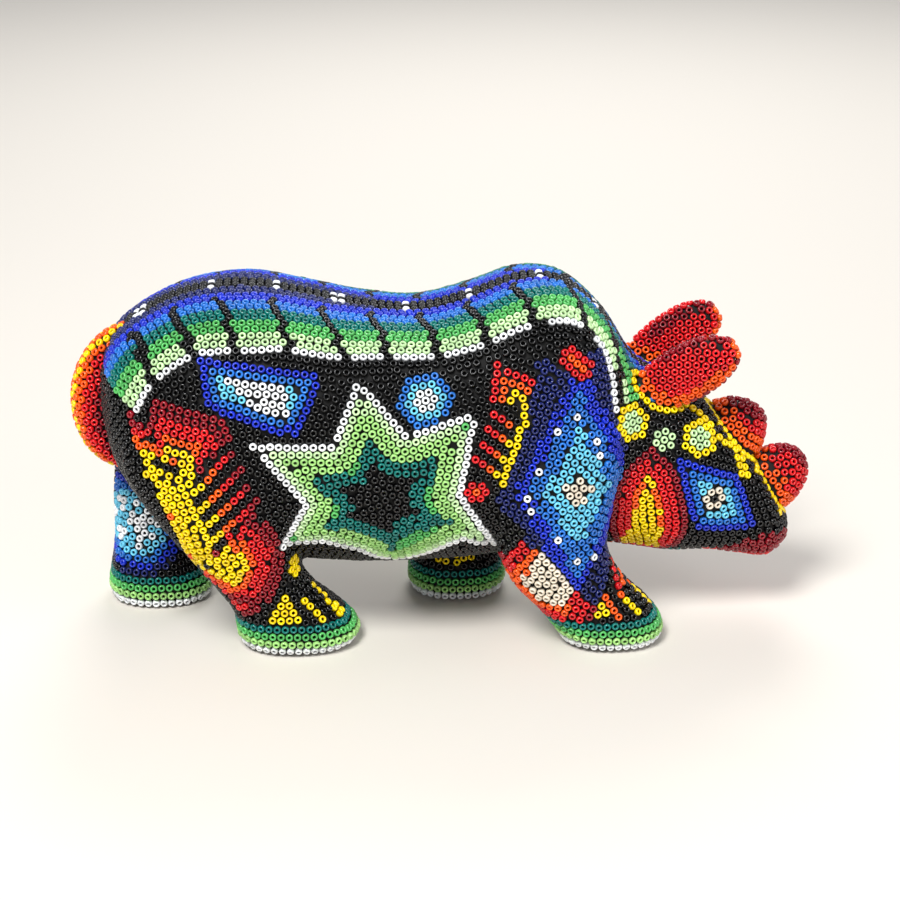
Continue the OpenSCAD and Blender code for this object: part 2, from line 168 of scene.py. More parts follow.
def inset(grid, depth):
    along = np.empty_like(grid)
    along[1:-1] = grid[2:] - grid[:-2]
    along[0] = grid[1] - grid[0]
    along[-1] = grid[-1] - grid[-2]
    around = np.roll(grid, -1, 1) - np.roll(grid, 1, 1)
    n = np.cross(around, along)
    n /= np.maximum(np.linalg.norm(n, axis=2, keepdims=True), 1e-9)
    centre = grid.mean(1, keepdims=True)
    flip = np.sign(((grid - centre) * n).sum(2).mean())
    return grid - depth * flip * n


def loft(grids):
    """Vertices and faces of closed lofts through grids of rings."""
    verts, faces, base = [], [], 0
    for grid in grids:
        m, n = grid.shape[:2]
        verts.append(grid.reshape(-1, 3))
        for i in range(m - 1):
            for j in range(n):
                k = (j + 1) % n
                here, after = base + i * n, base + (i + 1) * n
                faces.append([here + j, here + k, after + k, after + j])
        faces.append([base + j for j in range(n)][::-1])
        faces.append([base + (m - 1) * n + j for j in range(n)])
        base += m * n
    return np.vstack(verts), faces


def fused(grids, voxel, rounds):
    """One smooth mesh around lofts that overlap: (vertices, faces, vertex normals)."""
    verts, faces = loft(grids)
    mesh = bpy.data.meshes.new("fused")
    mesh.from_pydata(verts.tolist(), [], faces)
    obj = bpy.data.objects.new("fused", mesh)
    bpy.context.scene.collection.objects.link(obj)
    m = obj.modifiers.new("remesh", "REMESH")
    m.mode, m.voxel_size = "VOXEL", voxel
    s = obj.modifiers.new("smooth", "SMOOTH")
    s.factor, s.iterations = 0.5, rounds
    done = obj.evaluated_get(bpy.context.evaluated_depsgraph_get()).to_mesh()
    v = np.array([p.co for p in done.vertices])
    n = np.array([p.normal for p in done.vertices])
    f = [tuple(p.vertices) for p in done.polygons]
    bpy.data.objects.remove(obj)
    bpy.data.meshes.remove(mesh)
    return v, f, n


class Skin:
    """A closed surface through the middles of the beads."""

    def __init__(self, verts, faces, normals):
        self.verts, self.faces, self.normals = verts, faces, normals
        self.tree = BVHTree.FromPolygons([tuple(v) for v in verts], faces)

    def normal(self, face):
        n = self.normals[list(self.faces[face])].mean(0)
        return n / np.linalg.norm(n)

    def snap(self, p):
        q, _, i, _ = self.tree.find_nearest(Vector(p))
        return np.array(q), self.normal(i)

    def height(self, p):
        """How far p stands outside the surface."""
        q, n = self.snap(p)
        return float((np.asarray(p) - q) @ n)

    def side(self, x, z, side, start=60):
        """The point seen from one side at x, z, looking inwards from start."""
        q, _, i, _ = self.tree.ray_cast(Vector((x, start * side, z)), Vector((0, -side, 0)))
        return self.snap((x, 18 * side, z)) if q is None else (np.array(q), self.normal(i))


SHIFT = np.array([-CENTRE_X, 0, 0])
body_grids = [inset(trunk_grid(), MIDDLE)] + [inset(leg_grid(*leg), MIDDLE) for leg in LEGS.values()]
body = Skin(*fused([g + SHIFT for g in body_grids], 1.0, 6))
FITTED = {
    "ear_right": path_grid(EAR, RIGHT), "ear_left": path_grid(EAR, LEFT),
    "horn_rear": path_grid(HORN_REAR), "horn_front": path_grid(HORN_FRONT), "tail": path_grid(TAIL),
}
FITTED = {k: inset(g, MIDDLE) + SHIFT for k, g in FITTED.items()}
fitted = {k: Skin(*fused([g], 0.5, 3)) for k, g in FITTED.items()}

# ---- Beads ----


class Beads:
    def __init__(self):
        self.at, self.axis, self.colour, self.panel = [], [], [], []
        self.cells = {}
        self.loose = set()  # the numbers of the beads that are not in a motif's row

    def index(self):
        self.cells = {}
        for i, p in enumerate(self.at):
            self.cells.setdefault(self.cell(p), []).append(i)

    def cell(self, p):
        return tuple(int(math.floor(c / 2.5)) for c in p)

    def near(self, p, reach):
        i, j, k = self.cell(p)
        found = []
        for a in (i - 1, i, i + 1):
            for b in (j - 1, j, j + 1):
                for c in (k - 1, k, k + 1):
                    for n in self.cells.get((a, b, c), ()):
                        q = self.at[n]
                        d = (q[0] - p[0]) ** 2 + (q[1] - p[1]) ** 2 + (q[2] - p[2]) ** 2
                        if d < reach * reach:
                            found.append((d, n))
        return found

    def add(self, p, n, colour, panel, room=0.88 * PITCH):
        """Sets a bead unless another is nearer than room. Returns its number or None."""
        p = (float(p[0]), float(p[1]), float(p[2]))
        if self.near(p, room):
            return None
        i = len(self.at)
        self.at.append(p)
        self.axis.append(n)
        self.colour.append(colour)
        self.panel.append(panel)
        self.cells.setdefault(self.cell(p), []).append(i)
        return i


beads = Beads()


def lengths(line, closed):
    pts = np.vstack([line, line[:1]]) if closed else line
    steps = np.linalg.norm(np.diff(pts, axis=0), axis=1)
    return pts, np.concatenate([[0], np.cumsum(steps)])


def spaced(line, count, closed, phase=0.0):
    """count points at equal lengths along a line."""
    pts, s = lengths(line, closed)
    at = (np.arange(count) + phase) * s[-1] / count if closed else np.linspace(0, s[-1], count)
    return np.stack([np.interp(at, s, pts[:, c]) for c in range(3)], 1)


def lay(line, colour, panel, closed=False, phase=0.0, room=0.88 * PITCH):
    """A row of beads along a line. colour is a name, or a function of the share, the point and the number."""
    total = lengths(line, closed)[1][-1]
    count = max(1, int(round(total / PITCH)) + (0 if closed else 1))
    for i, p in enumerate(spaced(line, count, closed, phase)):
        q, n = body.snap(p)
        c = colour if isinstance(colour, str) else colour(i / max(count - 1, 1), q, i)
        if c:
            beads.add(q, n, c, panel, room)


def trace(points, side, closed=False, start=60):
    """A dense line on the skin through points given as x, z, seen from one side."""
    pts = [np.array(p, float) for p in points]
    if closed:
        pts.append(pts[0])
    out = []
    for a, b in zip(pts[:-1], pts[1:]):
        steps = max(2, int(np.linalg.norm(b - a) / 0.5))
        for k in range(steps):
            x, z = a + (b - a) * k / steps
            out.append(body.side(x, z, side, start)[0])
    if not closed:
        out.append(body.side(pts[-1][0], pts[-1][1], side, start)[0])
    return np.array(out)


def tidy(line, closed, step=0.5):
    total = lengths(line, closed)[1][-1]
    return spaced(line, max(4, int(total / step)), closed)


def shifted(line, step, closed, sign):
    """The line moved sideways on the skin."""
    if closed:
        along = np.roll(line, -2, 0) - np.roll(line, 2, 0)
    else:
        along = np.gradient(line, axis=0)
    out = []
    for p, t in zip(line, along):
        _, n = body.snap(p)
        d = np.cross(n, t)
        d /= max(np.linalg.norm(d), 1e-9)
        out.append(body.snap(p + sign * step * d)[0])
    return np.array(out)


def far_enough(line, other, reach):
    """The points of line that are at least reach from every point of other."""
    d2 = ((line[:, None, :] - other[None, :, :]) ** 2).sum(2).min(1)
    return line[d2 >= reach * reach]


def turn_of(points, side):
    """+1 or -1, so that shifted() moves a closed outline inwards."""
    p = np.array(points, float)
    q = np.roll(p, -1, 0)
    area = (p[:, 0] * q[:, 1] - q[:, 0] * p[:, 1]).sum()
    return (1 if area > 0 else -1) * (1 if side == RIGHT else -1)


def rings(points, side, colours, panel):
    """Rows inside a closed outline, each along the one before."""
    sign = turn_of(points, side)
    base = tidy(trace(points, side, True), True)
    line = base
    for k, colour in enumerate(colours):
        lay(line, colour, panel, closed=True, phase=0.5 * (k % 2))
        line = shifted(line, ROW, True, sign)
        line = far_enough(line, base, ROW * (k + 1) * 0.93)
        if len(line) < 8:
            return
        line = tidy(line, True)


def nest(points, side, colours, panel, turn):
    """Rows beside an open line, one for each colour, on its left (turn +1) or its right (-1)."""
    base = tidy(trace(points, side), False)
    line = base
    for k, colour in enumerate(colours):
        lay(line, colour, panel, phase=0)
        line = shifted(line, ROW, False, turn * (1 if side == RIGHT else -1))
        line = far_enough(line, base, ROW * (k + 1) * 0.93)
        if len(line) < 5:
            return
        line = tidy(line, False)


def rosette(x, z, side, colours, panel, turn=0.0, start=60):
    """A flower: one bead, and rings of six, twelve and eighteen around it."""
    c, n = body.side(x, z, side, start)
    a = np.cross(n, (0, 0, 1))
    a /= np.linalg.norm(a)
    b = np.cross(n, a)
    for k, colour in enumerate(colours):
        if k == 0:
            beads.add(c, n, colour, panel)
            continue
        for i in range(6):
            t0, t1 = math.radians(60 * i + turn), math.radians(60 * (i + 1) + turn)
            corner = np.array([math.cos(t0), math.sin(t0)])
            following = np.array([math.cos(t1), math.sin(t1)])
            for j in range(k):
                u = (1 - j / k) * corner + j / k * following
                q, m = body.snap(c + k * PITCH * 0.99 * (u[0] * a + u[1] * b))
                beads.add(q, m, colour, panel)


def inside(points, x, z):
    odd = False
    for (x1, z1), (x2, z2) in zip(points, points[1:] + points[:1]):
        if (z1 > z) != (z2 > z) and x < (x2 - x1) * (z - z1) / (z2 - z1) + x1:
            odd = not odd
    return odd


AREAS = []  # colours for the beads that fill an outline: (points, side, colour, panel)


def area(points, side, colour, panel):
    AREAS.append((list(points), side, colour, panel))


def recolour(points, side, colour, panel=None):
    """Gives the beads inside an outline another colour, or only those of one panel."""
    for i, p in enumerate(beads.at):
        if (p[1] * side > 9 and beads.axis[i][1] * side > 0.1 and inside(list(points), p[0], p[2])
                and panel in (None, beads.panel[i])):
            beads.colour[i] = colour


def dots(points, side, colour):
    """Single beads of another colour."""
    for x, z in points:
        q, _ = body.side(x, z, side)
        found = beads.near(q, 2.2)
        if found:
            beads.colour[min(found)[1]] = colour


def word(side):
    return "right" if side == RIGHT else "left"


# ---- Motifs ----


BAND_EDGE = [  # the white row below the bands, on the right side: x, y, z
    (-75, -24, 66), (-70.6, -24.5, 72.8), (-60.4, -24.8, 79.9), (-50, -25.4, 80.6), (-38.8, -24.6, 80.5),
    (-27.1, -24, 78.2), (-14.1, -22.6, 77.7), (-2, -22.5, 77.6), (9, -22.2, 80.4), (19.6, -20.8, 84.3),
    (31.5, -17.2, 83.3), (38.4, -16.5, 75.5), (40.6, -20.4, 62),
]


def back_rows():
    """Three black rows along the spine, and on each side bands laid upwards from a white row."""
    spine = [body.tree.ray_cast(Vector((x, 0, 120)), Vector((0, 0, -1)))[0] for x in np.arange(-79, 46.1, 1.0)]
    spine = tidy(np.array([tuple(p) for p in spine]), False)
    studs = [-74.5, -57.6, -40.9, -26.6, -9.9, 6.4, 22.6, 36.8]
    slashes = [-75.7, -65.9, -55.3, -42.6, -30.3, -19, -7.2, 4.4, 16.3, 28.7, 37.4]
    colours = ["white", "pale", "pale", "green", "green", "teal", "teal", "sky", "sky",
               "royal", "royal", "navy", "navy", "navy", "navy", "navy"]
    lay(spine, "black", "beads_back")

    def stud_colour(share, p, i):
        return "white" if min(abs(p[0] - x) for x in studs) < 1.3 else "black"

    for side in (RIGHT, LEFT):
        line = tidy(shifted(spine, 1.86, False, side), False)
        lay(line, stud_colour, "beads_back")
        edge = refine(np.array(BAND_EDGE) * (1, -side, 1), 6)
        line = tidy(np.array([body.snap(p)[0] for p in edge]), False)
        for k in range(16):
            def band(share, p, i, k=k):
                if abs(p[1]) < 2.9:
                    return None
                if k <= 9 and min(abs(p[0] - x - 0.56 * (9 - k)) for x in slashes) < 1.0:
                    return "black"
                return colours[k]

            lay(line, band, "beads_back", room=0.86 * PITCH)
            line = shifted(line, 1.84, False, -side)
            line = tidy(line[np.abs(line[:, 1]) > 2.6], False)
            if len(line) < 12:
                break


STAR = [
    (-47, 58.3), (-27.8, 57.5), (-22, 72.7), (-10.8, 59.4), (5.5, 64.7), (1.5, 44.3), (11.8, 27),
    (2.2, 31.1), (-7.4, 25), (-14.3, 22), (-22.2, 28.5), (-31, 31.8), (-40.8, 30.4), (-34.6, 43.1),
]
INNER_STAR = [
    (-33.5, 50.8), (-23, 51.4), (-20, 60.4), (-14, 53.2), (-2.4, 54.2), (-5.6, 46.5), (-6, 41.6), (-0.2, 37),
    (-10.8, 33.8), (-14.4, 28), (-18, 32.6), (-22.4, 35.2), (-31, 36), (-26, 41.6), (-29.6, 45.4),
]
KITE_HEART = [(-54.5, 74.8), (-38, 73.4), (-38.6, 66), (-44.8, 66.2)]
KITE = [(-58.5, 78.1), (-31, 74.3), (-37.4, 60.9), (-57.1, 68.4)]
SHOULDER = [
    (22.7, 76.2), (19.6, 66), (17.5, 55.5), (14, 46), (10.8, 41.2), (18.5, 36), (25.1, 28), (30.2, 20.4),
    (36, 13.8), (38.5, 23), (40.3, 35), (41.8, 47), (42, 51), (33.9, 62.7), (27.5, 72),
]
PANEL = [(21.9, 27.7), (16.6, 19.4), (22.4, 12.9), (26.5, 12.6), (29.3, 18.9)]


def on_leg(points, side):
    """Points given on a right leg, moved with the left leg, which is further back in its step."""
    if side == RIGHT:
        return list(points)
    heights = [0, 9.5, 17, 26, 37, 49, 60]
    moves = [-36, -34, -27, -20, -12, -5, 0]
    return [(x + np.interp(z, heights, moves), z) for x, z in points]


def star(side):
    panel = "beads_star_" + word(side)
    rings(STAR, side, ["white", "pale", "lime", "lime", "green", "green"], panel)
    area(STAR, side, "green", panel)


def star_marks(side):
    """A teal star inside the green one, and a black star inside that."""
    x0, z0 = -17, 43.5
    for share, colour in [(1.0, "teal"), (0.62, "black")]:
        recolour([(x0 + share * (x - x0), z0 + share * (z - z0)) for x, z in INNER_STAR], side, colour)


def kite(side):
    panel = "beads_kite_" + word(side)
    rings(KITE, side, ["royal", "sky", "cyan"], panel)
    area(KITE, side, "white", panel)


def comb(side):
    """A flame with a spine and four teeth, in front of the star."""
    panel = "beads_comb_" + word(side)
    nest([(10.2, 68.6), (11, 76.2), (18.8, 71.8)], side, ["red", "orange", "yellow", "yellow"], panel, -1)
    lay(trace([(17.7, 66), (17.3, 61.7), (15.9, 57.7), (14.8, 53.6), (12.4, 47.2)], side), "yellow", panel)
    fire = ["yellow", "orange", "red", "red"]
    for start, end in [((15.2, 61), (10.1, 64.8)), ((13.8, 57.2), (8.6, 61.1)),
                       ((12.3, 53.3), (7.3, 57.4)), ((11.1, 49.7), (5.9, 54))]:
        lay(trace([start, end], side), lambda s, p, i: fire[min(i, 3)], panel)


def shoulder(side):
    panel = "beads_shoulder_" + word(side)
    shape = on_leg(SHOULDER, side)
    rings(shape, side, ["navy", "navy", "royal", "royal", "sky", "sky", "sky", "cyan", "cyan", "cyan"], panel)
    area(shape, side, "cyan", panel)


def shoulder_marks(side):
    """Blue that gets lighter towards a cream diamond, with scattered white beads."""
    x0, z0 = on_leg([(30.6, 45)], side)[0]
    for wide, high, colour in [(26, 50, "navy"), (15.5, 31, "royal"), (12, 24, "sky"), (8.2, 15.5, "cyan"),
                               (4.4, 5.4, "cream")]:
        diamond = [(x0 + wide, z0), (x0, z0 + high), (x0 - wide, z0), (x0, z0 - high)]
        recolour(diamond, side, colour, "beads_shoulder_" + word(side))
    dots(on_leg([(24.7, 60.1), (30.3, 61.2), (34.7, 56.1), (36.4, 53.2), (21.6, 50.6), (18.1, 44.1),
                 (19.6, 39.8), (25.7, 32.1), (30.8, 26), (34.9, 26.5)], side), side, "white")


def small_flank_motifs(side):
    panel = "beads_flank_" + word(side)
    rosette(-6, 68.2, side, ["white", "white", "cyan", "sky"], panel, 10)
    rosette(6, 45, side, ["orange", "red"], panel, 0)
    lay(trace([(26.8, 76.2), (31.3, 71.1)], side), "red", panel)
    lay(trace([(27.4, 77.9), (33.3, 72)], side), lambda s, p, i: "red" if s in (0, 1) else "orange", panel)
    lay(trace([(29.1, 78.3), (34, 73.8)], side), "red", panel)


FIRE_SPINE = [
    (-73, 55.5), (-70.8, 50.4), (-66.8, 44.4), (-64.2, 37.4), (-62.2, 30), (-60.4, 25),
    (-58.2, 28), (-58.4, 33.4), (-59.9, 37.7), (-61.3, 41.7), (-62.8, 45.2), (-64, 47.8),
    (-64.6, 51.5), (-66.6, 51.8), (-68, 49.6), (-71, 54.4),
]
SQUARE = [(-53, 33.4), (-49.6, 26.4), (-52.9, 21.2), (-59, 24.6)]


def haunch(side):
    """The fire on the haunch: a leaf above, and a spine with four teeth."""
    panel = "beads_haunch_" + word(side)
    leaf = ["darkred", "darkred", "red", "red", "red", "orange", "orange", "yellow"]
    nest([(-69.8, 67.6), (-54.5, 64.3), (-52.8, 60)], side, leaf, panel, -1)
    lay(trace([(-67.6, 53.2), (-67.4, 55.2), (-64.9, 55.2), (-64.6, 52.4)], side), "yellow", panel)
    rings(on_leg(FIRE_SPINE, side), side, ["yellow", "yellow"], panel)
    area(on_leg(FIRE_SPINE, side), side, "yellow", panel)
    fire = ["yellow", "yellow", "yellow", "orange", "orange", "red", "red", "darkred", "darkred"]
    for ends in [((-62.6, 45.8), (-52.3, 56.5)), ((-61, 41.7), (-50, 52.1)),
                 ((-59.6, 37.6), (-48.9, 47.8)), ((-58.2, 33.6), (-46.5, 44.1))]:
        lay(trace(on_leg(ends, side), side), lambda s, p, i: fire[min(i, 8)], panel)
    edge = ["darkred", "darkred", "red", "orange", "orange", "yellow"]
    nest([(-76, 63.4), (-75.3, 59), (-73.6, 55.6)], side, [lambda s, p, i: edge[min(i, 5)]] * 2, panel, 1)
    behind = on_leg([(-72.6, 50.6), (-69, 44.5), (-66.4, 37.4), (-64.4, 30), (-62.4, 25)], side)
    lay(trace(behind, side), lambda s, p, i: "orange" if i % 7 == 6 else "yellow", panel)


def haunch_square(side):
    panel = "beads_leg_hind_" + word(side)
    rings(on_leg(SQUARE, side), side, ["yellow"] * 4, panel)
    area(on_leg(SQUARE, side), side, "yellow", panel)
    around = [(-53.4, 35.2), (-50, 33), (-47.9, 27), (-50.6, 20.4), (-55, 17.8)]
    nest(on_leg(around, side), side, ["orange", "orange", "red", "red", "darkred"], panel, 1)


def toes(foot, side):
    """A small triangle and lines above the hooves."""
    panel = "beads_leg_%s_%s" % (foot, word(side))

    def row(a, b, colour):
        a, b = on_leg([a, b], side)
        lay(trace([a, b], side) if a != b else np.array([body.side(a[0], a[1], side)[0]] * 2), colour, panel)

    if foot == "hind":
        for k in range(4):
            row((-40.9 - 1.05 * k, 16.2 - 2 * k), (-40.9 + 1.05 * k, 16.2 - 2 * k), "yellow")
        x, z = on_leg([(-38.4, 23.3)], side)[0]
        rosette(x, z, side, ["yellow", "yellow"], panel, 12)
        row((-36.1, 14.6), (-31.7, 9.4), "yellow")
        row((-34.1, 15.8), (-27.6, 8.8), "yellow")
        row((-31.6, 15.6), (-24.8, 8.4), "yellow")
        row((-30.2, 14.2), (-24.2, 8.6), "yellow")
    else:
        for k in range(3):
            row((37.2 - 1.05 * k, 13.2 - 1.9 * k), (37.2 + 1.05 * k, 13.2 - 1.9 * k), "yellow")
        row((38.3, 15.1), (41.8, 8.9), "orange")
        fire = ["orange", "yellow", "yellow", "yellow", "yellow", "yellow"]
        row((42.3, 14.8), (48, 8.4), lambda s, p, i: fire[min(i, 5)])
        row((44.9, 14.6), (51.6, 8.2), lambda s, p, i: fire[min(i, 5)])
        row((46.4, 15.4), (53.2, 8.8), lambda s, p, i: fire[min(i, 5)])
        row((39.8, 22.6), (41.6, 17), "red")
        row((41.2, 22.6), (43, 16.6), "orange")


def leg_panel(side):
    """The cream panel behind the front leg, edged with orange and red."""
    panel = "beads_leg_front_" + word(side)
    rings(on_leg(PANEL, side), side, ["cream"] * 4, panel)
    area(on_leg(PANEL, side), side, "cream", panel)
    around = [(20, 29), (15.2, 20), (21.6, 11.2), (28, 11.2), (30.8, 17)]
    nest(on_leg(around, side), side, ["orange", "red", "red", "darkred"], panel, -1)


def leg_panel_marks(side):
    """Red, then orange, then cream, each inside the one before and open towards the shoulder."""
    panel = "beads_leg_front_" + word(side)
    for points, colour in [
            ([(18.6, 31.6), (11.5, 20), (21.6, 8.6), (32.4, 8.6), (33.4, 15.6), (29.6, 19)], "red"),
            ([(20.6, 30), (14.4, 20), (21.6, 11.4), (29, 11.4), (30, 17.6)], "orange"),
            ([(22.6, 29), (16.8, 19.9), (22, 13.2), (27.4, 13.2), (29.6, 18.6)], "cream")]:
        recolour(on_leg(points, side), side, colour, panel)


LEAF_MARKS = [  # each inside the one before
    ("darkred", [(-71, 68.8), (-54, 65.6), (-51.6, 60.4), (-57.5, 55), (-60.3, 51.6), (-65, 52), (-68, 54.4),
                 (-69.4, 58.3), (-71.2, 62)]),
    ("red", [(-70.2, 65.2), (-56, 62.2), (-54.2, 59.8), (-58.8, 55), (-61, 51.8), (-65, 52), (-68, 54.4),
             (-69.6, 60)]),
    ("orange", [(-69.2, 61.2), (-58.8, 58.6), (-60.8, 54.6), (-62, 52), (-65, 52), (-68, 54.4)]),
    ("yellow", [(-67.8, 57.6), (-62.6, 57), (-60.9, 52), (-62.5, 48), (-65, 50.5), (-65.4, 54.4),
                (-68, 54.6)]),
    ("yellow", [(-53.4, 34), (-49.2, 26.6), (-52.9, 20.6), (-60, 24.4)]),
]
SQUARE_MARKS = [
    ("darkred", [(-52, 40), (-45.4, 38.6), (-40.2, 31), (-41, 24), (-45, 16), (-52, 14), (-60, 22),
                 (-58.4, 30), (-54.4, 36)]),
    ("red", [(-52.4, 38.6), (-47.4, 36), (-43, 30), (-44, 24), (-48.4, 17.4), (-54, 16.6), (-60, 22)]),
    ("orange", [(-53, 36.4), (-49.6, 34), (-46.6, 28), (-49.4, 20), (-55, 18.4), (-60, 23)]),
    ("yellow", [(-53.4, 34), (-49.2, 26.6), (-52.9, 20.6), (-60, 24.4)]),
]


def haunch_marks(side):
    """Colours of the leaf above the fire, and of the square below it."""
    for marks, panel in [(LEAF_MARKS, "beads_haunch_"), (SQUARE_MARKS, "beads_leg_hind_")]:
        for colour, points in marks:
            recolour(on_leg(points, side), side, colour, panel + word(side))


def far_front_leg():
    """Small motifs on the inner side of the left front leg, above its hoof."""
    panel = "beads_leg_front_left"
    for x in (-2.6, 5.2):
        rosette(x, 16.8, RIGHT, ["green", "lime"], panel, 0, 0)
    for a, b in [((-6, 12.4), (0, 10.4)), ((3, 10.4), (9.4, 12.4)), ((-3.6, 12.8), (0, 12.2)),
                 ((3, 12.2), (7, 13))]:
        lay(trace([a, b], RIGHT, False, 0), "yellow", panel)
    for a, b in [((-5, 14.4), (0.6, 13.9)), ((2.4, 13.9), (7.6, 14.4))]:
        lay(trace([a, b], RIGHT, False, 0), "cyan", panel)


def far_hind_leg(x, z):
    """The white flower of eight petals on the inner side of the left hind leg, on blue."""
    dx, dz = x + 79.5, z - 22.4
    r, t = math.hypot(dx, dz), math.atan2(dz, dx)
    if r < 2.6 or (r < 6.8 and math.cos(8 * t) > -0.25):
        return "white"
    for reach, colour in [(8.4, "cyan"), (10.4, "sky"), (12.4, "royal"), (14, "navy")]:
        if r < reach:
            return colour
    return "black"


def hoof_rows():
    """Four rows around each hoof: white, lime, green and teal from the sole up."""
    for (foot, side_word), (rows, side) in LEGS.items():
        panel = "beads_hoof_%s_%s" % (foot, side_word)
        grid = inset(leg_grid(rows, side), MIDDLE) + SHIFT
        zs = grid[:, 0, 2]
        for k, colour in enumerate(["white", "lime", "green", "teal"]):
            z = 1.9 + 1.85 * k
            j = int(np.searchsorted(zs, z))
            f = (z - zs[j - 1]) / (zs[j] - zs[j - 1])
            lay(grid[j - 1] * (1 - f) + grid[j] * f, colour, panel, closed=True, phase=0.5 * (k % 2))


CHEEK = [
    (49.8, 49.4), (45.6, 46.6), (43.2, 44), (41.2, 38.5), (41, 29), (44, 20.5),
    (52, 19), (57.6, 22), (58.8, 27.2), (58.2, 33), (57, 38.5), (55, 44.5),
]
EYE = [(57.3, 46.6), (72, 40.6), (77.2, 26.3), (62, 28.2)]


FLAME = [(49.1, 44), (50.5, 44), (50.7, 38.4), (52.6, 34), (54, 20), (43, 20), (46.2, 33.6), (48.6, 38.4)]


def cheek(side):
    panel = "beads_cheek_" + word(side)
    rings(CHEEK, side, ["darkred", "red", "red", "orange", "orange", "orange"], panel)
    area(CHEEK, side, "orange", panel)


def eye(side):
    panel = "beads_eye_" + word(side)
    c, n = body.side(66.4, 36.2, side)
    beads.add(c, n, "eye", "pupil_" + word(side))
    rosette(66.4, 36.2, side, ["cream", "cream"], panel)
    rings(EYE, side, ["royal", "sky", "cyan"], panel)
    area(EYE, side, "cyan", panel)


def head_motifs(side):
    panel = "beads_head"
    rosette(44.8, 57.4, side, ["pale", "pale", "yellow"], panel, 5)
    rosette(53.1, 52.3, side, ["pale", "pale"], panel, 20)
    rosette(62.3, 51.6, side, ["pale", "pale", "yellow"], panel, 15)
    lay(trace([(72.2, 45), (73.6, 39.4)], side), "yellow", panel)
    lay(trace([(74.1, 44), (75.4, 40)], side), "yellow", panel)


LIPS = [(67, 10), (69.5, 20), (76, 23.6), (84, 23.6), (92, 21), (92, 10)]


def horn_rows(side):
    """A yellow row from the ear down beside the horns."""
    line = [(60, -9.5, 59.6), (63.4, -9.6, 56.8), (67.1, -11.4, 51.9), (72.1, -10.6, 47.2),
            (76.4, -7.6, 43.6), (79.8, -7.4, 39.3), (82, -8.8, 35), (86.2, -7.4, 28.2)]
    line = np.array([body.snap(p)[0] for p in refine(np.array(line) * (1, -side, 1), 8)])
    lay(tidy(line, False), "yellow", "beads_head")


def chin():
    for side in (RIGHT, LEFT):
        lay(trace([(55, 19.6), (65, 18.4)], side), "teal", "beads_head")


def base_ring(name, colour, gap=1.0):
    """A row on the head around the foot of an ear or a horn."""
    grid = FITTED[name]
    foot = []
    for j in range(grid.shape[1]):
        line = grid[:, j]
        heights = [body.height(p) for p in line]
        i = next((k for k, h in enumerate(heights) if h > 0), None)
        if i is None:
            continue
        away = line[i] - grid[i].mean(0)
        foot.append(body.snap(line[i] + gap * away / np.linalg.norm(away))[0])
    lay(np.array(foot), colour, "beads_head", closed=True)
    return foot


def place_on(name, q):
    """How far along an ear, a horn or the tail a point is, from 0 to 1, and its angle from the top."""
    grid = FITTED[name]
    i = int(np.argmin(np.linalg.norm(grid - q, axis=2).min(1)))
    ring = grid[i]
    c, n = ring.mean(0), len(ring)
    up, across, d = ring[0] - c, ring[n // 4] - c, q - c
    turn = math.atan2(float(d @ across) / float(across @ across), float(d @ up) / float(up @ up))
    return i / (len(grid) - 1), abs(math.degrees(turn))


def refill(name, apart):
    """More beads where an ear, a horn or the tail still has room for them."""
    def choose(q):
        share, angle = place_on(name, q)
        return PALETTE[name.split("_")[0]](share, angle, body.height(q)), "beads_" + name

    here = [i for i, panel in enumerate(beads.panel) if panel == "beads_" + name]
    fill(here, fitted[name], choose, lambda q: body.height(q) < 0.1, apart)


def wrap(name, colour, spacing=1.76):
    """Rings of beads up an ear, a horn or the tail, and more to close its end."""
    grid, skin = FITTED[name], fitted[name]
    run = np.concatenate([[0], np.cumsum(np.linalg.norm(np.diff(grid, axis=0), axis=2).mean(1))])
    placed = []
    for k in range(int(run[-1] / spacing) + 1):
        at = 0.3 + k * spacing
        ring = np.stack([[np.interp(at, run, grid[:, j, c]) for c in range(3)] for j in range(grid.shape[1])])
        n = int(round(lengths(ring, True)[1][-1] / PITCH))
        if n < 7:
            break
        for p in spaced(ring, n, True, 0.5 * (k % 2)):
            q, m = skin.snap(p)
            h = body.height(q)
            if h > 0.75:
                share, angle = place_on(name, q)
                placed.append(beads.add(q, m, colour(share, angle, h), "beads_" + name))

    refill(name, 0.93)


def horn_colour(share, angle, h):
    if h < 4.2:
        return "orange"
    return "darkred" if share > 0.84 or (angle < 40 and share > 0.7) else "red"


def ear_colour_and_shade(share, angle, h):
    if h < 3.4 and share < 0.55:
        return "orange"
    if angle < 24 and share > 0.3:
        return "darkred"
    # Painted shade: dark red beads along the lower front edge stand for the shadowed outer side of the ear.
    if angle > 160:
        return "darkred"
    return "orange" if angle > 118 or share > 0.95 else "red"


def tail_colour(share, angle, h):
    """Stripes along the tail, from the rear round to the side that faces the body."""
    rear = 180 - angle
    for reach, colour in [(14, "orange"), (36, "yellow"), (58, "orange"), (86, "red"), (126, "darkred")]:
        if rear < reach:
            return colour
    return "black"


PALETTE = {"ear": ear_colour_and_shade, "horn": horn_colour, "tail": tail_colour}


def lips_rows():
    for side in (RIGHT, LEFT):
        area(LIPS, side, "lips", "beads_lips")


# ---- Black beads between the motifs ----


def panel_at(p):
    """The CAD panel that a plain bead belongs to."""
    x, y, z = p
    side = "right" if y < 0 else "left"
    if x > 43:
        return "beads_lips" if z < 20 and x > 66 else "beads_head"
    if z < 8.6:
        front = x > 22 if side == "right" else x > -30
        return "beads_hoof_%s_%s" % ("front" if front else "hind", side)
    if abs(y) < 7.5 and z < 31:
        return "beads_belly"
    if z < 31 and abs(y) < 40:
        mid = 4 if side == "right" else -30
        if x > mid:
            return "beads_leg_front_" + side
        if x < -18:
            return "beads_leg_hind_" + side
    if x > 18 and z < 76:
        return "beads_shoulder_" + side
    if x < -44 and z < 66:
        return "beads_haunch_" + side
    return "beads_flank_" + side


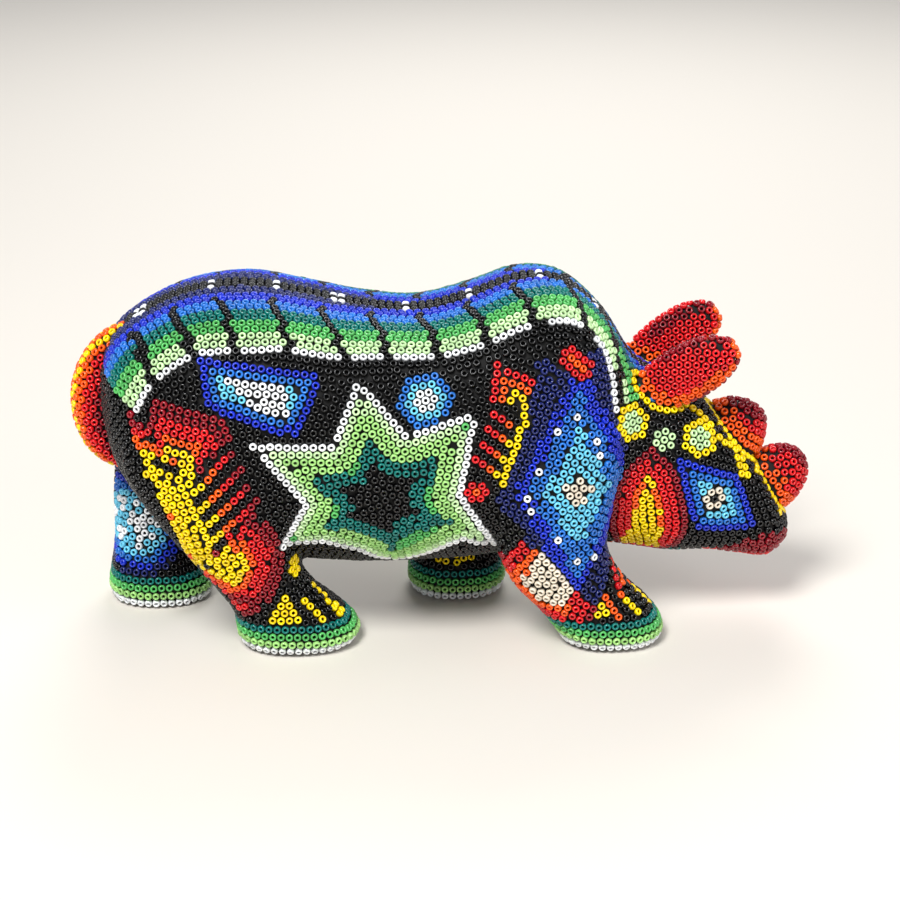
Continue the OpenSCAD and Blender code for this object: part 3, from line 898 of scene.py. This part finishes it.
def fill_colour(p):
    x, y, z = p
    side = RIGHT if y < 0 else LEFT
    if x < -50 and 0 < y < 17 and 8.5 < z < 42:
        return far_hind_leg(x, z), "beads_leg_hind_left"
    for points, s, colour, panel in AREAS:
        if s == side and abs(y) > (15 if x < 42 else 3) and inside(points, x, z):
            rows = [beads.colour[i] for _, i in beads.near(p, 1.5 * PITCH)
                    if i not in beads.loose and beads.panel[i] == panel and beads.colour[i] != "white"]
            if len(rows) > 3:
                return max(sorted(set(rows)), key=rows.count), panel
            if colour == "lips":
                return ("red" if z < 17.5 else "darkred"), panel
            return colour, panel
    if x > 66 and z < 20:
        return "red", "beads_lips"
    return "black", panel_at(p)


def blocked(p):
    """Under an ear, a horn or the tail, or below the sole."""
    if p[2] < 1.85:
        return True
    for skin in fitted.values():
        q, n = skin.snap(p)
        if (np.array(p) - q) @ n < 0.3:
            return True
    return False


def fill(queue, skin, choose, closed_off, apart=0.93):
    """Sets each next bead against two others, outwards from those in queue, until the skin is full."""
    queue, reach = deque(queue), PITCH
    while queue:
        b = queue.popleft()
        p, n = np.array(beads.at[b]), beads.axis[b]
        tries = []
        for d2, c in sorted(beads.near(beads.at[b], 1.95 * reach)):
            if c == b:
                continue
            q = np.array(beads.at[c])
            across = np.cross(n, q - p)
            across *= math.sqrt(max(reach * reach - d2 / 4, 0.2)) / max(np.linalg.norm(across), 1e-9)
            tries += [(p + q) / 2 + across, (p + q) / 2 - across]
        a = np.cross(n, (0.3, 0.2, 1.0))
        a /= np.linalg.norm(a)
        c = np.cross(n, a)
        for k in range(24):
            t, far = math.radians(30 * k), reach * (1.0, 1.35)[k // 12]
            tries.append(p + far * (math.cos(t) * a + math.sin(t) * c))
        for t in tries:
            if beads.near(t, (apart - 0.03) * reach):
                continue
            q, m = skin.snap(t)
            if beads.near(q, apart * reach) or closed_off(q):
                continue
            colour, panel = choose(q)
            i = beads.add(q, m, colour, panel, apart * reach)
            if i is not None:
                beads.loose.add(i)
                queue.append(i)


def on_body():
    apart = ("beads_ear", "beads_horn", "beads_tail")
    return [i for i, panel in enumerate(beads.panel) if not panel.startswith(apart)]


def settle(rounds, reach=1.07 * PITCH):
    """Neighbours push each other apart until they are even. Beads in the motifs' rows give less."""
    skins = {"beads_" + name: skin for name, skin in fitted.items()}
    for _ in range(rounds):
        tree = KDTree(len(beads.at))
        for i, p in enumerate(beads.at):
            tree.insert(p, i)
        tree.balance()
        moved = []
        for i, p in enumerate(beads.at):
            x = y = z = 0.0
            for q, j, d in tree.find_range(p, reach):
                if d > 1e-6:
                    k = (reach - d) / d
                    x, y, z = x + (p[0] - q[0]) * k, y + (p[1] - q[1]) * k, z + (p[2] - q[2]) * k
            give = 0.45 if i in beads.loose else 0.2
            moved.append((p[0] + give * x, p[1] + give * y, p[2] + give * z))
        for i, t in enumerate(moved):
            q, n = skins.get(beads.panel[i], body).snap(t)
            if i in beads.loose and skins.get(beads.panel[i], body) is body and q[2] < 1.9:
                continue
            beads.at[i], beads.axis[i] = tuple(float(c) for c in q), n
        beads.index()


def motifs():
    hoof_rows()
    for name in ("ear_right", "ear_left", "horn_rear", "horn_front"):
        base_ring(name, "yellow")
    wrap("ear_right", ear_colour_and_shade)
    wrap("ear_left", ear_colour_and_shade)
    wrap("horn_rear", horn_colour)
    wrap("horn_front", horn_colour)
    wrap("tail", tail_colour)
    for side in (RIGHT, LEFT):
        eye(side)
        cheek(side)
        head_motifs(side)
    back_rows()
    far_front_leg()
    chin()
    horn_rows(RIGHT)
    horn_rows(LEFT)
    for side in (RIGHT, LEFT):
        star(side)
        kite(side)
        comb(side)
        shoulder(side)
        small_flank_motifs(side)
        haunch(side)
        haunch_square(side)
        leg_panel(side)
        toes("hind", side)
        toes("front", side)
    lips_rows()


motifs()
fill(on_body(), body, fill_colour, blocked)
for apart in (0.87, 0.85, 0.84):
    settle(5)
    fill(on_body(), body, fill_colour, blocked, apart)
    for name in sorted(FITTED):
        refill(name, apart)
settle(8)
for side in (RIGHT, LEFT):
    shoulder_marks(side)
    recolour(FLAME, side, "yellow")
    leg_panel_marks(side)
    haunch_marks(side)
    star_marks(side)
    recolour(KITE_HEART, side, "white", "beads_kite_" + word(side))

# ---- Materials ----


def linear(*rgb):
    return tuple((c / 255 / 12.92) if c <= 10 else ((c / 255 + 0.055) / 1.055) ** 2.4 for c in rgb) + (1.0,)


GLASS = {  # colour: (red, green, blue, record slot)
    "black": (7, 7, 8, "glass_black"), "eye": (5, 5, 6, "glass_black"),
    "navy": (24, 34, 96, "glass_navy"), "royal": (22, 48, 190, "glass_blue"),
    "sky": (36, 112, 200, "glass_sky"), "cyan": (104, 196, 226, "glass_sky"),
    "teal": (8, 112, 104, "glass_green"), "green": (84, 178, 92, "glass_green"),
    "lime": (158, 210, 122, "glass_lime"), "pale": (196, 230, 172, "glass_lime"),
    "white": (238, 240, 242, "glass_white"), "cream": (228, 216, 196, "glass_white"),
    "yellow": (250, 216, 0, "glass_yellow"), "orange": (250, 92, 14, "glass_orange"),
    "red": (216, 24, 30, "glass_red"), "darkred": (142, 14, 30, "glass_red"),
}


def glass(name, rgb, shade):
    m = bpy.data.materials.new("glass_%s_%d" % (name, shade))
    m.use_nodes = True
    s = m.node_tree.nodes["Principled BSDF"].inputs
    k = (0.86, 1.0, 1.12)[shade]
    c = linear(*rgb)
    s["Base Color"].default_value = (min(c[0] * k, 1), min(c[1] * k, 1), min(c[2] * k, 1), 1)
    s["Roughness"].default_value = (0.24, 0.2, 0.17)[shade]
    s["IOR"].default_value = 1.52
    return m


def plain(name, rgb, roughness):
    m = bpy.data.materials.new(name)
    m.use_nodes = True
    s = m.node_tree.nodes["Principled BSDF"].inputs
    s["Base Color"].default_value = linear(*rgb)
    s["Roughness"].default_value = roughness
    return m


GLASSES = {name: [glass(name, g[:3], k) for k in range(3)] for name, g in GLASS.items()}

# ---- Meshes ----

PROFILE = [(0.97, 0.0), (0.92, 0.38), (0.74, 0.64), (0.54, 0.61), (0.41, 0.36), (0.41, -0.5), (0.86, -0.5)]
AROUND = 12


def bead_template():
    t = np.linspace(0, 2 * np.pi, AROUND + 1)[:-1]
    verts = np.array([(r * math.cos(a), r * math.sin(a), h) for a in t for r, h in PROFILE])
    m = len(PROFILE)
    faces = []
    for i in range(AROUND):
        for j in range(m):
            k, l = (i + 1) % AROUND, (j + 1) % m
            faces.append((i * m + j, k * m + j, k * m + l, i * m + l))
    return verts, np.array(faces)


TEMPLATE = bead_template()


def bead_mesh(name, numbers):
    """One mesh of many beads, each with its own small tilt and size."""
    tv, tf = TEMPLATE
    at = np.array([beads.at[i] for i in numbers])
    axis = np.array([beads.axis[i] for i in numbers]) + rng.normal(0, 0.045, (len(numbers), 3))
    axis /= np.linalg.norm(axis, axis=1, keepdims=True)
    ref = np.where(np.abs(axis[:, 2:3]) < 0.9, (0, 0, 1), (1, 0, 0))
    a = np.cross(ref, axis)
    a /= np.linalg.norm(a, axis=1, keepdims=True)
    b = np.cross(axis, a)
    size = rng.normal(1.0, 0.018, (len(numbers), 1)).clip(0.95, 1.03)
    tall = rng.normal(1.0, 0.05, (len(numbers), 1)).clip(0.88, 1.08)
    across = tv[None, :, 0:1] * a[:, None, :] + tv[None, :, 1:2] * b[:, None, :]
    upwards = tv[None, :, 2:3] * axis[:, None, :] * tall[:, None, :]
    verts = at[:, None, :] + across * size[:, None, :] + upwards
    nb, nv, nf = len(numbers), len(tv), len(tf)
    faces = (tf[None, :, :] + (np.arange(nb) * nv)[:, None, None]).reshape(-1, 4)
    mesh = bpy.data.meshes.new(name)
    mesh.vertices.add(nb * nv)
    mesh.vertices.foreach_set("co", (verts * MM).astype(np.float32).ravel())
    mesh.loops.add(len(faces) * 4)
    mesh.loops.foreach_set("vertex_index", faces.astype(np.int32).ravel())
    mesh.polygons.add(len(faces))
    mesh.polygons.foreach_set("loop_start", (np.arange(len(faces)) * 4).astype(np.int32))
    mesh.polygons.foreach_set("loop_total", np.full(len(faces), 4, np.int32))
    used = sorted({beads.colour[i] for i in numbers})
    for c in used:
        for m in GLASSES[c]:
            mesh.materials.append(m)
    shade = rng.choice(3, nb, p=(0.25, 0.5, 0.25))
    index = np.array([used.index(beads.colour[i]) * 3 for i in numbers]) + shade
    mesh.polygons.foreach_set("material_index", np.repeat(index, nf).astype(np.int32))
    mesh.polygons.foreach_set("use_smooth", np.ones(len(faces), bool))
    mesh.update(calc_edges=True)
    mesh.validate()
    obj = bpy.data.objects.new(name, mesh)
    bpy.context.scene.collection.objects.link(obj)
    return obj


MOST = 1180  # beads in one piece
groups = {}
for i, (panel, colour) in enumerate(zip(beads.panel, beads.colour)):
    groups.setdefault((panel, GLASS[colour][3]), []).append(i)
for (panel, slot), numbers in sorted(groups.items()):
    for k in range(0, len(numbers), MOST):
        name = "%s_%s" % (panel, slot[6:]) + ("_%d" % (k // MOST + 1) if len(numbers) > MOST else "")
        piece = bead_mesh(name, numbers[k:k + MOST])
        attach(piece, "root")
        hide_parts(panel)


def wax_mesh(name, skin, depth, floor=None):
    """A smooth coat of wax at a depth below a skin, cut off flat at a floor."""
    v = (skin.verts - skin.normals * depth) * MM
    mesh = bpy.data.meshes.new(name)
    mesh.from_pydata(v.tolist(), [], [list(f) for f in skin.faces])
    if floor is not None:
        bm = bmesh.new()
        bm.from_mesh(mesh)
        geom = bm.verts[:] + bm.edges[:] + bm.faces[:]
        bmesh.ops.bisect_plane(
            bm, geom=geom, plane_co=(0, 0, floor * MM), plane_no=(0, 0, 1), clear_inner=True)
        bmesh.ops.holes_fill(bm, edges=[e for e in bm.edges if e.is_boundary])
        bm.to_mesh(mesh)
        bm.free()
    mesh.polygons.foreach_set("use_smooth", np.ones(len(mesh.polygons), bool))
    obj = bpy.data.objects.new(name, mesh)
    bpy.context.scene.collection.objects.link(obj)
    return obj


# Painted shade: the wax is near-black to stand for the shade in the gaps between the beads. The real wax is
# yellowish brown.
shade_black_wax = plain("wax_dark", (9, 8, 7), 0.85)
for name, skin in [("body", body)] + list(fitted.items()):
    piece = wax_mesh("wax_" + name + "_skin", skin, WAX, 0.5 if name == "body" else None)
    piece.data.materials.append(shade_black_wax)
    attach(piece, "root")
    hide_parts("wax_" + name)

wood = plain("carved_wood", (196, 150, 100), 0.6)
peg_wood = plain("peg_wood", (170, 124, 80), 0.6)
for n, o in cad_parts.items():
    if n.startswith(("core", "peg")):
        o.data.materials.clear()
        o.data.materials.append(wood if n.startswith("core") else peg_wood)

# ---- Floor, light and camera ----


def studio():
    mesh = bpy.data.meshes.new("floor")
    mesh.from_pydata([(-3, -3, 0), (3, -3, 0), (3, 3, 0), (-3, 3, 0)], [], [(0, 1, 2, 3)])
    floor = bpy.data.objects.new("floor", mesh)
    bpy.context.scene.collection.objects.link(floor)
    mesh.materials.append(plain("floor", (226, 220, 210), 0.7))
    world = bpy.data.worlds.new("studio")
    bpy.context.scene.world = world
    world.use_nodes = True
    world.node_tree.nodes["Background"].inputs[0].default_value = (0.9, 0.93, 1.0, 1)
    world.node_tree.nodes["Background"].inputs[1].default_value = 0.38

    def lamp(name, at, size, power, look=(0, 0, 0.04)):
        light = bpy.data.lights.new(name, "AREA")
        light.shape, light.size, light.energy = "DISK", size, power
        obj = bpy.data.objects.new(name, light)
        obj.location = at
        obj.rotation_euler = (Vector(look) - Vector(at)).to_track_quat("-Z", "Y").to_euler()
        bpy.context.scene.collection.objects.link(obj)

    lamp("key", (-0.25, -0.5, 0.75), 0.35, 9)
    lamp("fill", (0.7, -0.55, 0.4), 0.5, 2.4)
    lamp("back", (0.1, 0.7, 0.6), 0.5, 3.6)


def camera():
    """Looks at the figure from its right, a little behind the middle and 22 degrees above."""
    azimuth, elevation, distance = math.radians(-3), math.radians(22), 0.550
    target = Vector((0.00116, -0.00082, 0.04433))
    level = math.cos(elevation)
    back = Vector((math.sin(azimuth) * level, -math.cos(azimuth) * level, math.sin(elevation)))
    data = bpy.data.cameras.new("camera")
    data.lens, data.sensor_width = 87.1, 36
    data.clip_start, data.clip_end = 0.01, 20
    obj = bpy.data.objects.new("camera", data)
    obj.location = target + back * distance
    obj.rotation_euler = (-back).to_track_quat("-Z", "Y").to_euler()
    bpy.context.scene.collection.objects.link(obj)
    bpy.context.scene.camera = obj
    bpy.context.scene.view_settings.view_transform = "Standard"


studio()
camera()
bpy.context.view_layer.update()
